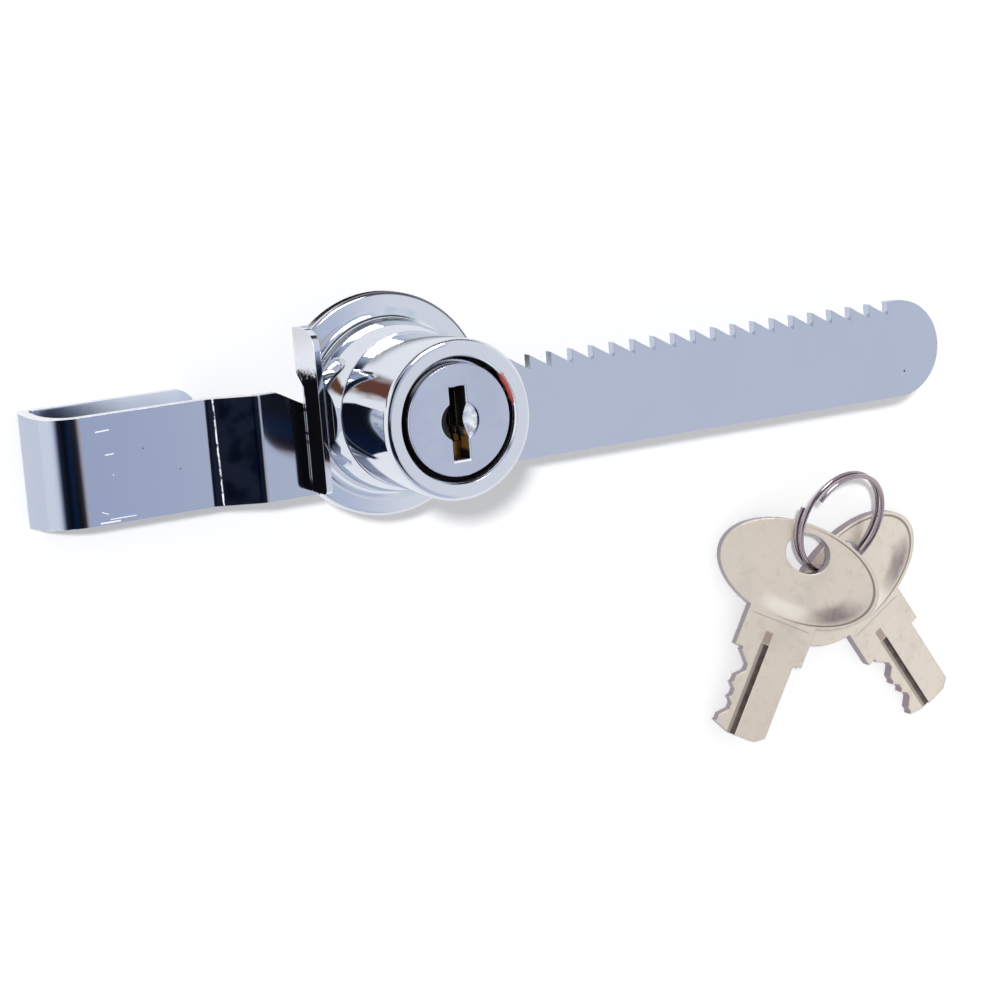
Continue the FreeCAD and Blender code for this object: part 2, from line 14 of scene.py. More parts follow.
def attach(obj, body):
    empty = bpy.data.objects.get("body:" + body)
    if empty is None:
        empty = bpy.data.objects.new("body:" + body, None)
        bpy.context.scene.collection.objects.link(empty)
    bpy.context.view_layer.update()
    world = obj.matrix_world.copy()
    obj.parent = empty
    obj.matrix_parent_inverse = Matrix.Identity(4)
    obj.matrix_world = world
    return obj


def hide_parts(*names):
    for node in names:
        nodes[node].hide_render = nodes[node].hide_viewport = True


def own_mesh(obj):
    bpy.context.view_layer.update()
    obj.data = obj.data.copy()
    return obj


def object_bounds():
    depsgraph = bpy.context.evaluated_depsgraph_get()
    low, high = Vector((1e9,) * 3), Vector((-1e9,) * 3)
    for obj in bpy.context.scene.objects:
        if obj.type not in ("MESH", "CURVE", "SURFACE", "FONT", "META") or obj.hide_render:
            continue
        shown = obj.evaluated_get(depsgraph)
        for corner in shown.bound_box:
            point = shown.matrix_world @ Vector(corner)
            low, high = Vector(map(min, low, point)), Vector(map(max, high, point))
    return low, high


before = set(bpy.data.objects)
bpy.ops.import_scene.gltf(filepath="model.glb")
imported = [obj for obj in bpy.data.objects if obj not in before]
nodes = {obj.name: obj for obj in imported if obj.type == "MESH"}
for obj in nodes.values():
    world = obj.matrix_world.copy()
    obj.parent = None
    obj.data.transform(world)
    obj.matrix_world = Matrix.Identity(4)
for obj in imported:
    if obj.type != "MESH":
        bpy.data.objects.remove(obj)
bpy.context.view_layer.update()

# %% [markdown]
# ## The camera
#
# The photograph was taken from high up and far away, with the camera rolled a little. The pose was
# worked out from the round disc and the straight bar. A camera matrix is three directions, right,
# up and backward, and a place, so those numbers are written straight into the matrix. That is
# surer than aiming with a constraint, because the roll comes along for free.

# %% Camera
right = Vector((0.87506835, -0.07576467, 0.47803253))
up = Vector((0.15366478, 0.98006180, -0.12596031))
back = Vector((-0.45895808, 0.18368064, 0.86926343))
place = Vector((-0.16089529, 0.05471266, 0.34007005))
camera_data = bpy.data.cameras.new("photo_camera")
camera_data.sensor_width = 36.0
camera_data.lens = 96.1565
camera_data.clip_start = 0.01
camera_data.clip_end = 20.0
camera = bpy.data.objects.new("photo_camera", camera_data)
camera.matrix_world = Matrix((
    (right.x, up.x, back.x, place.x),
    (right.y, up.y, back.y, place.y),
    (right.z, up.z, back.z, place.z),
    (0.0, 0.0, 0.0, 1.0)))
bpy.context.scene.collection.objects.link(camera)
bpy.context.scene.camera = camera
bpy.context.scene.view_settings.view_transform = "Standard"

# %% [markdown]
# ## A way to write materials as sums
#
# Blender builds a material from nodes. Wiring them by hand hides the idea in a tangle, so a small
# class stands for one node output and lets plain arithmetic add the Math nodes: `1 - mask * 0.5`
# reads like the thing it does.

# %% Wires
class Wire:
    """One output of a node. Sums with numbers or other wires add Math nodes."""

    def __init__(self, paint, socket):
        self.paint = paint
        self.socket = socket

    def maths(self, operation, *values):
        """A Math node on these values."""
        sockets = dict(enumerate(values))
        return self.paint.add("ShaderNodeMath", {"operation": operation}, sockets)

    def __add__(self, other):
        return self.maths("ADD", self, other)

    def __radd__(self, other):
        return self.maths("ADD", other, self)

    def __sub__(self, other):
        return self.maths("SUBTRACT", self, other)

    def __rsub__(self, other):
        return self.maths("SUBTRACT", other, self)

    def __mul__(self, other):
        return self.maths("MULTIPLY", self, other)

    def __rmul__(self, other):
        return self.maths("MULTIPLY", other, self)

    def __truediv__(self, other):
        return self.maths("DIVIDE", self, other)

    def __rtruediv__(self, other):
        return self.maths("DIVIDE", other, self)

    def __pow__(self, other):
        return self.maths("POWER", self, other)

    def __rpow__(self, other):
        return self.maths("POWER", other, self)


print("wires can be added, taken away, multiplied, divided and raised to a power")

# %% [markdown]
# ## One method for every other node
#
# The second class holds a whole tree, and everything but arithmetic goes through its method `add`.
# Most marks on this object are masks: a wire that is 1 on the mark, 0 beside it, and soft between.
# The short methods make those. Lengths in them are in metres, as in the model.

# %% Node tree
class Paint:
    """The node tree of one material or of the world."""

    def __init__(self, owner):
        owner.use_nodes = True
        self.owner = owner
        self.tree = owner.node_tree
        self.tree.nodes.clear()

    def add(self, kind, settings=None, sockets=None, out=0):
        """Make a node, set it up, feed its sockets, and return one of its outputs."""
        node = self.tree.nodes.new(kind)
        for name, value in (settings or {}).items():
            if name == "stops":
                ramp = node.color_ramp
                while len(ramp.elements) < len(value):
                    ramp.elements.new(0.5)
                for element, (position, colour) in zip(ramp.elements, value):
                    element.position = position
                    element.color = colour
            else:
                setattr(node, name, value)
        for name, value in (sockets or {}).items():
            if isinstance(value, Wire):
                self.tree.links.new(value.socket, node.inputs[name])
            else:
                node.inputs[name].default_value = value
        return Wire(self, node.outputs[out])

    def step(self, value, low, high):
        """0 below low, 1 above high, and a soft rise between."""
        return self.add("ShaderNodeMapRange", {"interpolation_type": "SMOOTHSTEP"},
                        {"Value": value, "From Min": low, "From Max": high})

    def under(self, value, low, high):
        """1 below low, 0 above high, and a soft fall between."""
        return 1 - self.step(value, low, high)

    def clamp(self, value, low=0.0, high=1.0):
        """The value, held between two limits."""
        return self.add("ShaderNodeClamp", {}, {"Value": value, "Min": low, "Max": high})

    def length(self, x, y):
        """The length of an arrow with these two parts."""
        return (x * x + y * y) ** 0.5

    def blend(self, mask, first, second):
        """A colour that goes from first to second as the mask goes from 0 to 1."""
        node = self.tree.nodes.new("ShaderNodeMix")
        node.data_type = "RGBA"
        for index, value in ((0, mask), (6, first), (7, second)):
            if isinstance(value, Wire):
                self.tree.links.new(value.socket, node.inputs[index])
            else:
                node.inputs[index].default_value = value
        return Wire(self, node.outputs[2])

    def within(self, value, low, high, soft):
        """1 between low and high, fading to 0 over a soft border on both sides."""
        rise = self.step(value, low - soft, low + soft)
        return rise * self.under(value, high - soft, high + soft)

    def axes(self, place):
        """The X, Y and Z of a place."""
        parts = {"Vector": place}
        return [self.add("ShaderNodeSeparateXYZ", {}, parts, letter) for letter in "XYZ"]

    def close(self, shader, kind="ShaderNodeOutputMaterial"):
        """Join the finished shader to the tree's output and hand the material back."""
        self.tree.links.new(shader.socket, self.tree.nodes.new(kind).inputs["Surface"])
        return self.owner

    def noise(self, place, scale, detail=2.0, roughness=0.5):
        """A cloudy value of about 0.5 that changes from place to place."""
        return self.add("ShaderNodeTexNoise", {}, {"Vector": place, "Scale": scale,
                                                   "Detail": detail, "Roughness": roughness})


def rgb(red, green, blue):
    """A colour from screen values of 0 to 255 to the linear values that Blender takes."""
    def linear(v):
        v = v / 255.0
        return v / 12.92 if v <= 0.04045 else ((v + 0.055) / 1.055) ** 2.4
    return (linear(red), linear(green), linear(blue), 1.0)


print("grey 128 is", round(rgb(128, 128, 128)[0], 3), "in linear light")

# %% [markdown]
# ## The studio
#
# Chrome has almost no colour of its own. What the eye reads as chrome is the room in it, so the
# room is made first: a pale blue dome with a dark wall where the camera stands, and the place
# straight above kept light. Camera rays see plain white behind the lock. Rays that bounce off metal
# see the room, and rays that light matte paint see one even grey, so that no colour shifts.

# %% World
world = bpy.data.worlds.new("studio")
bpy.context.scene.world = world
sky = Paint(world)
look = sky.add("ShaderNodeTexCoord", {}, {}, "Generated")
ray_x, ray_y, ray_z = sky.axes(look)

dome = sky.blend(sky.step(ray_x, 0.30, 0.46), rgb(184, 194, 218), rgb(220, 224, 234))
dome = sky.blend(sky.step(ray_z, 0.0, 0.6), rgb(246, 248, 252), dome)
dome = sky.blend(sky.under(ray_x, -0.9, -0.6), dome, rgb(246, 249, 254))
camera_wall = sky.blend(sky.step(ray_x, -0.62, -0.42), rgb(30, 36, 52), rgb(12, 16, 26))
camera_wall = sky.blend(sky.within(ray_x, -0.34, -0.12, 0.08), camera_wall, rgb(14, 32, 58))
camera_wall = sky.blend(sky.step(ray_x, -0.06, 0.10), camera_wall, rgb(42, 30, 34))
in_wall = sky.step(ray_x, -0.80, -0.60) * sky.under(ray_x, 0.10, 0.20)
in_wall = in_wall * sky.within(ray_y, -0.55, 0.62, 0.1) * sky.step(ray_z, 0.3, 0.5)
overhead = sky.step(ray_x, -0.28, -0.12) * sky.step(ray_y, -0.12, -0.06)
in_wall = in_wall * (1 - overhead * 0.85)
dome = sky.blend(in_wall, dome, camera_wall)
fringe = sky.within(ray_x, 0.17, 0.24, 0.03) * sky.within(ray_y, -0.5, 0.3, 0.1)
fringe = fringe * sky.step(ray_z, 0.5, 0.7)
dome = sky.blend(fringe * 0.8, dome, rgb(206, 184, 150))
far_edge = sky.step(ray_y, 0.5, 0.75) * sky.under(ray_z, 0.25, 0.45)
dome = sky.blend(far_edge, dome, rgb(60, 52, 52))

white = (1.0, 1.0, 1.0, 1.0)
even_grey = (0.56, 0.56, 0.56, 1.0)
path = ("Is Camera Ray", "Is Diffuse Ray")
seen, soft = [sky.add("ShaderNodeLightPath", {}, {}, name) for name in path]
room, even, plain = [sky.add("ShaderNodeBackground", {}, {"Color": colour, "Strength": 1.0})
                     for colour in (dome, even_grey, white)]
light = sky.add("ShaderNodeMixShader", {}, {0: soft, 1: room, 2: even})
shown = sky.add("ShaderNodeMixShader", {}, {0: seen, 1: light, 2: plain})
sky.close(shown, "ShaderNodeOutputWorld")
print("world nodes:", len(sky.tree.nodes))

# %% [markdown]
# ## Two lamps
#
# A lamp close to the camera throws a thin shadow that peeks out below and to the right of each
# piece, as in the photograph. It isn't mirrored by the chrome. A soft box above the far side does
# the opposite: it only gives the white crescents on the round chrome, and no second shadow.

# %% Lamps
def lamp(kind, name, at, aim, settings, hidden_from):
    """A lamp that looks at a point and is left out of one kind of ray."""
    data = bpy.data.lights.new(name, kind)
    for key, value in settings.items():
        setattr(data, key, value)
    thing = bpy.data.objects.new(name, data)
    thing.location = at
    thing.rotation_euler = (Vector(aim) - Vector(at)).to_track_quat("-Z", "Y").to_euler()
    setattr(thing, hidden_from, False)
    bpy.context.scene.collection.objects.link(thing)
    return thing


lamp("SUN", "front_lamp", at=(-0.475, 0.262, 0.840), aim=(0.0, 0.0, 0.0),
     settings={"energy": 2.1, "angle": 0.07}, hidden_from="visible_glossy")
lamp("AREA", "soft_box", at=(0.10, 0.55, 0.60), aim=(0.03, 0.0, 0.0),
     settings={"energy": 3.2, "size": 0.34}, hidden_from="visible_diffuse")

# %% [markdown]
# ## The floor
#
# The floor is white paper for the camera and keeps the shadow of the lock. Mirror rays see it in
# another way: as a pale table with a painted shadow, a dark arc behind the lock, which the rim of
# the disc mirrors, and a patch of brown wood on its left, which the neck and the barrel mirror.

# %% Floor
table_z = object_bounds()[0].z
far = 2.0
corners = [(x, y, table_z) for x, y in ((-far, -far), (far, -far), (far, far), (-far, far))]
mesh = bpy.data.meshes.new("floor")
mesh.from_pydata(corners, [], [(0, 1, 2, 3)])
floor = bpy.data.objects.new("floor", mesh)
bpy.context.scene.collection.objects.link(floor)
cover = Paint(bpy.data.materials.new("floor_paper"))
spot = cover.add("ShaderNodeTexCoord", {}, {}, "Object")
from_lock = cover.add("ShaderNodeVectorMath", {"operation": "DISTANCE"},
                      {0: spot, 1: (0.0, 0.0, table_z)}, "Value")
spot_x, spot_y = cover.axes(spot)[:2]
table = rgb(238, 241, 248)
# painted shadow: a dark arc on the floor behind the lock, seen only by mirror rays
rim = cover.within(from_lock, 0.0163, 0.0215, 0.0015) * cover.step(spot_y, -0.004, 0.004)
rim = rim * cover.step(spot_x, -0.0130, -0.0080)
table = cover.blend(rim, table, rgb(52, 44, 44))
wavy = (cover.noise(spot, 400.0, 4.0, 0.6) - 0.5) * 0.006
wood = cover.within(spot_y + (spot_x + 0.020) * 0.25 + wavy, 0.0090, 0.0190, 0.0024)
wood = wood * cover.under(spot_x, -0.0165, -0.0135)
table = cover.blend(wood, table, rgb(100, 66, 56))
mirrored = cover.add("ShaderNodeEmission", {}, {"Color": table, "Strength": 1.0})
matte = cover.add("ShaderNodeBsdfDiffuse", {}, {"Color": (0.95, 0.95, 0.95, 1.0)})
glow = cover.add("ShaderNodeEmission", {}, {"Color": white, "Strength": 1.0})
seen = cover.add("ShaderNodeLightPath", {}, {}, "Is Camera Ray")
mirror = cover.add("ShaderNodeLightPath", {}, {}, "Is Glossy Ray")
paper = cover.add("ShaderNodeMixShader", {}, {0: seen * 0.12, 1: matte, 2: glow})
shown = cover.add("ShaderNodeMixShader", {}, {0: mirror, 1: paper, 2: mirrored})
floor.data.materials.append(cover.close(shown))
print("floor at", round(1000 * table_z, 2), "mm")

# %% [markdown]
# ## Metals
#
# One function makes every metal. A low noise makes the plating a little uneven, a fine noise gives
# the grain, and the Bevel node bends the normal near sharp edges, which draws the thin bright line
# that real edges have. Where another surface is close, the occlusion node darkens the colour: this
# is painted shade under the sleeve, round the wafers and between the turns of the key ring. The
# marks of each piece come after that, as layers of colour, and then one more function closes the
# metal.

# %% Metal
def base_metal(name, colour, roughness, grain=0.02, grain_size=6000.0, edge=0.00012, grime=None):
    """The start of a metal: its node tree, its place, and its sockets so far."""
    paint = Paint(bpy.data.materials.new(name))
    place = paint.add("ShaderNodeTexCoord", {}, {}, "Object")
    cloud = paint.noise(place, 90.0)
    fine = paint.noise(place, grain_size)
    dim = tuple(c * 0.93 for c in colour[:3]) + (1.0,)
    tint = paint.blend(cloud * 0.5 + fine * 0.5, dim, colour)
    # painted shade: the colour darkens where the occlusion node finds another surface close
    if grime:
        reach, low, high, shade_colour = grime
        near = paint.add("ShaderNodeAmbientOcclusion", {"samples": 8}, {"Distance": reach}, "AO")
        tint = paint.blend(paint.step(near, low, high), shade_colour, tint)
    sockets = {"Base Color": tint, "Metallic": 1.0,
               "Roughness": roughness + (cloud - 0.5) * (roughness * 0.4) + (fine - 0.5) * grain,
               "Normal": paint.add("ShaderNodeBevel", {"samples": 4}, {"Radius": edge}, "Normal")}
    return paint, place, sockets


def lay(paint, sockets, *layers):
    """Lay colours over a metal, one after the other, each where its mask is 1."""
    for mask, colour in layers:
        sockets["Base Color"] = paint.blend(mask, sockets["Base Color"], colour)


def shade(paint, sockets):
    """Close a metal and hand its material back."""
    return paint.close(paint.add("ShaderNodeBsdfPrincipled", {}, sockets))


def metal(*settings, **named):
    """A metal with no marks of its own."""
    paint, place, sockets = base_metal(*settings, **named)
    return shade(paint, sockets)


# near-black colour for painted shade in crevices, gaps, bores and keyways
shade_black = rgb(8, 7, 8)
brass = metal("wafer_brass", rgb(190, 146, 78), 0.3, grime=(0.002, 0.0, 0.45, rgb(52, 36, 16)))
dull_steel = metal("dull_steel", rgb(150, 150, 152), 0.35)
ring_wire = metal("ring_wire", rgb(186, 170, 172), 0.12, grime=(0.0010, 0.3, 1.0, rgb(60, 44, 46)))
print("plain metals ready")

# %% [markdown]
# ## The strip and its scratches
#
# A scratch is a thin straight line. For each one the material measures how far a point lies along
# the line and how far beside it, and where both are small the chrome turns white and rough. Pits
# are small dark discs, made from the distance to one point.

# %% Scratches and pits
paint, place, sockets = base_metal("chrome_strip", rgb(207, 213, 226), 0.09)
place_x, place_y, place_z = paint.axes(place)


def scratch(start, end, width):
    """1 on a straight scratch between two XY points in mm."""
    a = Vector(start) / 1000
    way = Vector(end) / 1000 - a
    along = ((place_x - a.x) * way.x + (place_y - a.y) * way.y) / way.length
    beside = ((place_x - a.x) * way.y - (place_y - a.y) * way.x) / way.length
    half = width / 2000
    on_line = paint.within(beside, -half, half, half * 0.6)
    return on_line * paint.within(along, 0.0, way.length, 0.00005)


def pit(x, y, radius):
    """1 inside a small pit at an XY point in mm."""
    off = paint.length(place_x - x / 1000, place_y - y / 1000)
    return paint.under(off, radius / 2000, radius / 1000)


# Each mark: where it starts, where it ends, and its width, in mm.
marks = [((-41.8, 1.53), (-39.81, 1.62), 0.16), ((-40.72, -1.77), (-39.45, -1.72), 0.14),
         ((-40.89, -10.62), (-37.07, -10.62), 0.12), ((-42.31, -10.99), (-39.4, -11.0), 0.20),
         ((-42.0, -9.47), (-41.03, -9.89), 0.10), ((-39.9, -4.6), (-39.7, -4.6), 0.12)]
white_marks = scratch(*marks[0])
for mark in marks[1:]:
    white_marks = white_marks + scratch(*mark)
white_marks = white_marks * paint.within(place_z, -0.0012, -0.0004, 0.0001)
pits = pit(90.8, -7.4, 0.22) + pit(-35.2, -1.6, 0.12) + pit(-30.1, -5.2, 0.12)
print("scratches:", len(marks))

# %% [markdown]
# ## The strip's marks and painted light
#
# Broad marks lie beside the scratches. The narrow edges carry a painted highlight, a painted
# highlight on the crease and a cloudy blue stain lie on the step between the hook and the lock, and
# the inside of the hook's rear leg is painted paler than the rest, as painted light. A noise breaks
# the marks up, because a clean border would look printed.

# %% Strip
mottle = paint.noise(place, 900.0, 4.0, 0.6)
wander = place_x + place_y * 0.013 + (mottle - 0.5) * 0.0003
# painted highlight: a bright line along the crease of the step
crease = paint.within(wander, -0.02466, -0.02450, 0.00007) * paint.step(mottle, 0.36, 0.52)
crease = crease * paint.within(place_z, -0.0009, 0.0004, 0.0002)
# painted highlights along the narrow upper and lower edges
rear_leg_rise = paint.clamp((-0.0023 - place_z) * 0.17, 0.0, 0.00095)
upper_edge = paint.step(place_y - rear_leg_rise, 0.00374, 0.00379)
upper_edge = upper_edge * paint.under(place_x, -0.0200, -0.0190)
lower_edge = paint.under(place_y, -0.01126, -0.01118) * paint.under(place_x, -0.0480, -0.0440)
painted_bright = upper_edge * 0.85 + lower_edge * paint.step(mottle, 0.4, 0.6) * 0.8
# white marks: the real scratches plus the painted highlights on the crease and the edges
white_marks = paint.clamp(white_marks + crease + painted_bright)

cloudy = paint.step(paint.noise(place, 260.0), 0.42, 0.62)
murk = paint.within(place_x, -0.0243, -0.0196, 0.0006) * cloudy
# painted light: the inside of the rear leg is painted paler and made less mirror-like
painted_light_inside = paint.within(place_z, -0.0086, -0.0074, 0.0003) * paint.step(place_x, -0.0450, -0.0330)
lay(paint, sockets,
    (pits, rgb(40, 44, 60)),
    (murk * 0.75, rgb(58, 84, 124)),
    (painted_light_inside * 0.8, rgb(226, 233, 246)),
    (white_marks, rgb(250, 250, 252)))
sockets["Metallic"] = (1 - white_marks) * (1 - painted_light_inside * 0.6)
sockets["Roughness"] = sockets["Roughness"] + white_marks * 0.5 + painted_light_inside * 0.15
chrome_strip = shade(paint, sockets)
print("strip nodes:", len(paint.tree.nodes))

# %% [markdown]
# ## The plate
#
# The plate is plain chrome, and only its flange has marks of its own. The flange's left face is
# darkened with painted shade where it stands over the bar, and its lowest edge is rubbed bright.
# The noise that is added to the height makes the upper border of the shade ragged.

# %% Plate
paint, place, sockets = base_metal("chrome_plate", rgb(236, 239, 246), 0.07)
place_x, place_y, place_z = paint.axes(place)
ragged = (paint.noise(place, 700.0, 4.0, 0.7) - 0.5) * 0.006
left_face = paint.under(place_x, -0.01215, -0.01205)
# painted shade: the flange's left face turns near black below a ragged border
flange_shade = paint.under(place_y + ragged, 0.0054, 0.0070) * left_face
low_edge = paint.within(place_z, 0.00280, 0.00300, 0.00004) * left_face
low_edge = low_edge * paint.within(place_y, -0.0092, 0.0026, 0.0006)
low_edge = low_edge * paint.step(paint.noise(place, 900.0, 4.0, 0.6), 0.38, 0.52)
bright = left_face * (1 - flange_shade) + low_edge
flange_shade = flange_shade * (1 - low_edge)
lay(paint, sockets, (flange_shade, rgb(14, 14, 18)))
sockets["Metallic"] = 1 - flange_shade - bright * 0.7
sockets["Roughness"] = sockets["Roughness"] + flange_shade * 0.3 + bright * 0.2
sockets["Specular IOR Level"] = 0.0
chrome_plate = shade(paint, sockets)
print("plate nodes:", len(paint.tree.nodes))

# %% [markdown]
# ## The cast housing
#
# The casting was polished and chromed, and it mirrors most of all. Its neck has a faint haze, green
# in some places and yellow in others, and a brown line of painted reflection runs round the far
# side of the disc. The bore is painted black, a painted shade, so that the gap round the plug reads
# as a clean dark ring.

# %% Housing
paint, place, sockets = base_metal("chrome_cast", rgb(238, 240, 244), 0.05,
                                   grime=(0.0008, 0.05, 0.6, shade_black))
place_x, place_y, place_z = paint.axes(place)
radius = paint.length(place_x, place_y)
haze = paint.noise(place, 110.0, 3.0, 0.6)
on_neck = paint.under(radius, 0.0134, 0.0140)
# painted reflection: a dark brown line round the far side of the disc
rim_reflection = paint.step(radius, 0.01540, 0.01550) * paint.step(place_y, -0.004, 0.000)
rim_reflection = rim_reflection * paint.step(place_x, -0.008, -0.004)
# painted shade: the bore turns black
gap_shade = paint.under(radius, 0.0089, 0.0091) * paint.step(place_z, 0.0190, 0.0200)
lay(paint, sockets,
    (paint.step(haze, 0.52, 0.70) * on_neck * 0.5, rgb(170, 206, 214)),
    (paint.under(haze, 0.30, 0.46) * on_neck * 0.35, rgb(232, 226, 190)),
    (rim_reflection * 0.8, rgb(60, 52, 56)),
    (gap_shade, shade_black))
sockets["Metallic"] = 1 - gap_shade
sockets["Roughness"] = sockets["Roughness"] + gap_shade * 0.7
chrome_cast = shade(paint, sockets)
print("housing nodes:", len(paint.tree.nodes))

# %% [markdown]
# ## The sleeve with its red index
#
# The red mark shows where the key goes in. It is paint on the inner edge of the ring, widest at
# its upper end, so the material works in polar form: a radius and an angle round the axis. A small
# curved piece of the same red fills the gap beside it.

# %% Sleeve
index_start, index_end = 0.12, 0.68
lip_radius = 0.00856
paint, place, sockets = base_metal("chrome_sleeve", rgb(238, 240, 244), 0.06,
                                   grime=(0.0007, 0.1, 0.65, shade_black))
place_x, place_y, place_z = paint.axes(place)
radius = paint.length(place_x, place_y)
angle = place_y.maths("ARCTAN2", place_y, place_x)
ragged = (paint.noise(place, 2500.0) - 0.5) * 0.0005
reach = (angle - 0.122) * 0.0006 + lip_radius + ragged
painted = paint.under(radius - reach, -0.00012, 0.00012) * paint.step(place_z, 0.0249, 0.0250)
painted = painted * paint.within(angle, index_start, index_end, 0.05)
# painted shade: the inside of the sleeve's lip turns black
gap_shade = paint.under(radius, lip_radius, 0.00862) * paint.under(place_z, 0.02485, 0.02500)
lay(paint, sockets, (gap_shade, shade_black), (painted * 0.8, rgb(170, 74, 70)))
covered = paint.clamp(gap_shade + painted * 0.85)
sockets["Metallic"] = 1 - covered
sockets["Roughness"] = sockets["Roughness"] + covered * 0.4
chrome_sleeve = shade(paint, sockets)
print("index mark, degrees:", [round(math.degrees(turn)) for turn in (index_start, index_end)])

# %% [markdown]
# ## The paint in the gap
#
# The piece is a short curved bar: one square is carried round an arc, thinner at both ends, and
# each square is joined to the next. It rides on the lock's body, so it stays when the plug turns.

# %% Index paint
import bmesh


def arc_bar(name, inner, outer, low, high, start, end, steps):
    """A bar of square section bent round the axis, sizes in mm and angles in degrees."""
    solid = bmesh.new()
    rows = []
    for i in range(steps + 1):
        at = math.radians(start + (end - start) * i / steps)
        share = min(i, steps - i) / steps
        thinned = outer - (outer - inner) * min(1.0, 0.35 + 4.0 * share)
        square = [(thinned, low), (outer, low), (outer, high), (thinned, high)]
        rows.append([solid.verts.new((r * math.cos(at) / 1000, r * math.sin(at) / 1000, z / 1000))
                     for r, z in square])
    for a, b in zip(rows, rows[1:]):
        for j in range(4):
            k = (j + 1) % 4
            solid.faces.new((a[j], a[k], b[k], b[j]))
    solid.faces.new(rows[0][::-1])
    solid.faces.new(rows[-1])
    bmesh.ops.recalc_face_normals(solid, faces=solid.faces)
    shape = bpy.data.meshes.new(name)
    solid.to_mesh(shape)
    solid.free()
    piece = bpy.data.objects.new(name, shape)
    bpy.context.scene.collection.objects.link(piece)
    return piece


index = arc_bar("index_paint", inner=8.15, outer=8.49, low=25.1, high=25.54, start=8.0, end=38.5,
                steps=24)
paint = Paint(bpy.data.materials.new("index_red"))
place = paint.add("ShaderNodeTexCoord", {}, {}, "Object")
tint = paint.blend(paint.noise(place, 1500.0), rgb(132, 44, 44), rgb(176, 78, 76))
roughness = 0.4 + paint.noise(place, 4000.0) * 0.2
index.data.materials.append(shade(paint, {"Base Color": tint, "Roughness": roughness}))
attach(index, "lock_body")
print("index paint:", len(index.data.polygons), "faces")

# %% [markdown]
# ## The plug's face
#
# The face was turned and sanded before plating. A wave texture in rings with some distortion makes
# the curved strokes, and they show in the colour and, very weakly, in the bump. The plug's side and
# the keyway are black with painted shade, but the side has a painted highlight near the face on its
# far half, and the keyway shows some brown on its right wall. The round recess in front of the
# keyway has a painted highlight on one side and painted shade on the other, and the keyway's lower
# lip has a painted highlight too.

# %% Plug
paint, place, sockets = base_metal("satin_plug", rgb(214, 219, 232), 0.16)
place_x, place_y, place_z = paint.axes(place)
stroke_scale = 1000.0
strokes = paint.add("ShaderNodeTexWave", {"wave_type": "RINGS", "rings_direction": "Z"},
                    {"Vector": place, "Scale": stroke_scale, "Distortion": 5.0, "Detail": 3.0,
                     "Detail Scale": 0.2}, "Fac")
where = paint.within(place_x, 0.0016, 0.0062, 0.0012) * paint.step(place_y, -0.006, 0.001)
strokes = strokes * (where * 0.8 + 0.12)
patches = paint.step(paint.noise(place, 260.0, 5.0, 0.65), 0.35, 0.7)
sockets["Normal"] = paint.add("ShaderNodeBump", {}, {
    "Height": strokes, "Strength": 0.05, "Distance": 0.00005, "Normal": sockets["Normal"]})
radius = paint.length(place_x, place_y)
# painted shade on the plug's side in the gap, and a painted highlight on its far half near the face
on_side = paint.step(radius, 0.00755, 0.00762)
far_half = paint.step(place_y + place_x * 0.4, 0.001, 0.005)
below_recess = paint.under(place_z, 0.0236, 0.0238)
painted_bright = on_side * far_half * paint.within(place_z, 0.0244, 0.0252, 0.0001)
side = on_side * paint.under(place_z, 0.02516, 0.02524) * (1 - far_half * below_recess)
side = side * (1 - painted_bright)

# painted shade on the near half of the recess and in the keyway
recess = paint.under(paint.length(place_x, place_y + 0.0002), 0.00272, 0.00278)
recess = recess * paint.under(place_z, 0.02550, 0.02556) * (1 - below_recess)
keyway = paint.within(place_x, -0.00126, 0.00126, 0.00002)
keyway = keyway * paint.within(place_y, -0.00548, 0.00454, 0.00002)
keyway = keyway * paint.under(place_z, 0.02536, 0.02546)
brown = keyway * paint.step(place_x, 0.0008, 0.0011)
brown = brown * paint.within(place_y, -0.0042, -0.0016, 0.0003)
plug_shade = paint.clamp(side + keyway + recess * paint.under(place_x, -0.0004, 0.0008))

patchy = paint.step(paint.noise(place, 1300.0, 4.0, 0.6), 0.34, 0.66)
lower_lip = paint.within(place_x, -0.0013, 0.0013, 0.0001)
lower_lip = lower_lip * paint.under(place_y, -0.00545, -0.00535)
lower_lip = lower_lip * paint.step(place_y, -0.0058, -0.0057)
lower_lip = lower_lip * paint.within(place_z, 0.02542, 0.0257, 0.00002)
# painted highlights: the far half of the recess, the keyway's lower lip and the far side wall
glint = recess * paint.step(place_x, 0.00125, 0.00135) * patchy
glint = paint.clamp(glint + lower_lip + painted_bright * 0.7)
lay(paint, sockets,
    (strokes * 0.35, rgb(170, 177, 196)),
    (patches * 0.25, rgb(186, 190, 214)),
    (plug_shade, shade_black),
    (brown * 0.8, rgb(122, 90, 44)),
    (glint, rgb(246, 248, 252)))
sockets["Metallic"] = (1 - plug_shade) * (1 - glint * 0.6)
sockets["Roughness"] = sockets["Roughness"] + plug_shade * 0.6 + glint * 0.2
satin_plug = shade(paint, sockets)
print("plug strokes every", round(1000 * 2 * math.pi / (20 * stroke_scale), 2), "mm")

# %% [markdown]
# ## The keys
#
# The keys are soft, warm nickel. They mirror less than the chrome, so a part of the metal is left
# matte. Every mark on a key belongs to the key and not to the table that it lies on, so the
# material first works out how far a point lies across, along and above the key. The groove, the end
# of the groove and the cut sides are darker with painted shade. A pressed line runs round the right
# of the bow and a fainter one crosses the neck, both bumped and darkened with painted shade, and
# the lower part of the bow has a painted highlight beside a painted dark reflection.

# %% Keys
bow_centre = 0.00095
bow_half_width = 0.014
bow_half_height = 0.008


